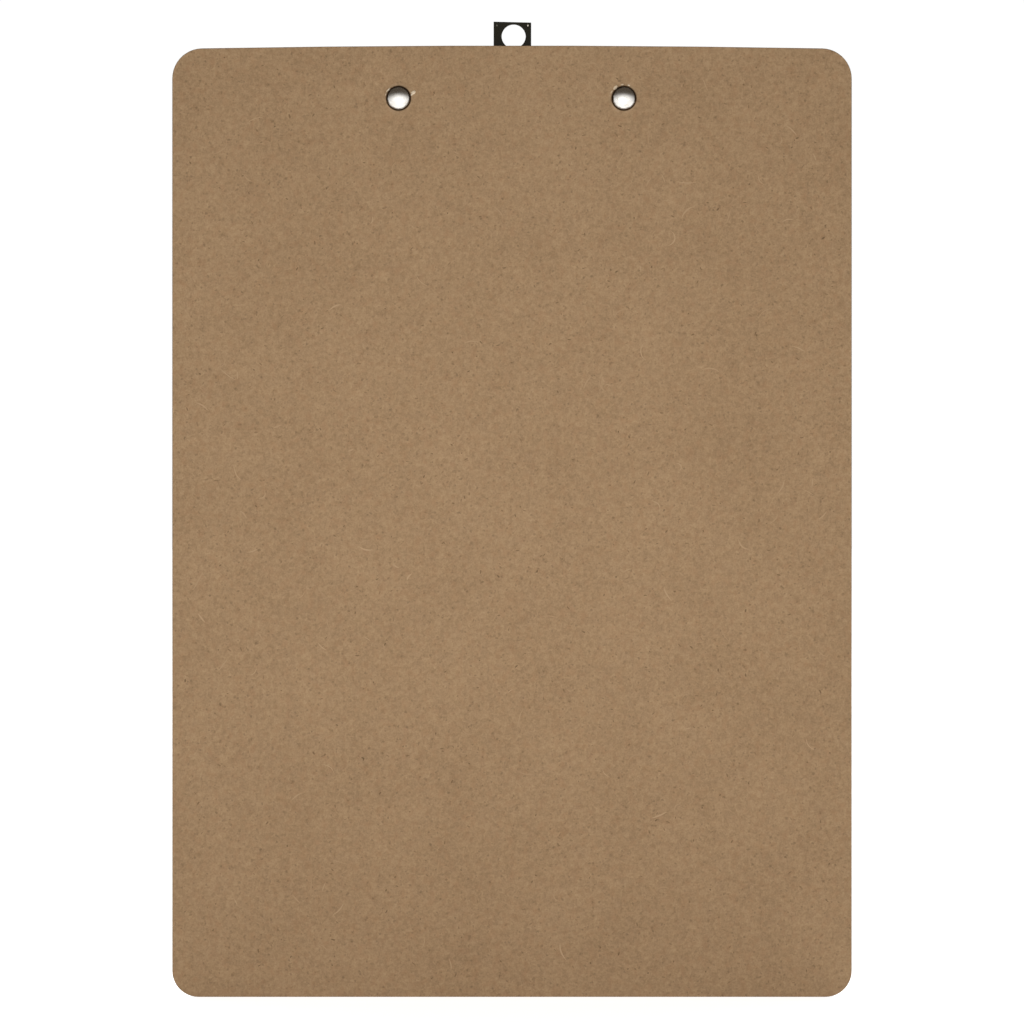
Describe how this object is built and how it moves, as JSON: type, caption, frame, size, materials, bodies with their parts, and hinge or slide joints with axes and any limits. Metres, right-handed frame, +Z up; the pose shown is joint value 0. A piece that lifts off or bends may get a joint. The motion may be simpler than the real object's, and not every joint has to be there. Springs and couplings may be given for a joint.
{
  "type": "clipboard",
  "caption": "A4 hardboard clipboard with a low-profile sprung clip riveted across its top and a pull-out steel tab with a round hole for hanging it up.",
  "frame": {"origin": "on the board's centre line, at the height of the hanging hole's centre, half-way through the hanging strip; the hole's own centre is 0.55 mm to the -X side", "axes": "+Z up the board's length as it hangs, +X across its width, the clip on the -Y side and the bare back on the +Y side"},
  "size_m": [0.225, 0.0187, 0.3236],
  "materials": {
    "hardboard": "raw, matt, fine fibres",
    "nickel_plate": "bright nickel plate on pressed sheet steel",
    "rivet_nickel": "bright nickel plate",
    "rod_steel": "drawn wire, satin",
    "spring_steel": "drawn spring wire, satin",
    "black_steel": "black finish, semi-gloss",
    "black_rubber": "moulded, fine matt grain"
  },
  "bodies": {
    "board": {"board": "hardboard", "base_plate": "nickel_plate", "hinge_rod": "rod_steel", "rivet_left": "rivet_nickel", "rivet_right": "rivet_nickel", "spring_left": "spring_steel", "spring_right": "spring_steel"},
    "jaw": {"jaw": "nickel_plate", "grip_left": "black_rubber", "grip_right": "black_rubber"},
    "hanger": {"hanger": "black_steel"}
  },
  "joints": [
    {"name": "jaw_hinge", "type": "hinge", "parent": "board", "child": "jaw", "pos_m": [0.00025, -0.00525, -0.0208], "axis": [-1, 0, 0], "range_deg": [0, 25], "stiffness_Nm_per_rad": 0.37, "springref_deg": -57.3, "deforming": ["spring_left", "spring_right"]},
    {"name": "hanger_slide", "type": "slide", "parent": "board", "child": "hanger", "axis": [0, 0, 1], "range_m": [-0.0075, 0]}
  ]
}
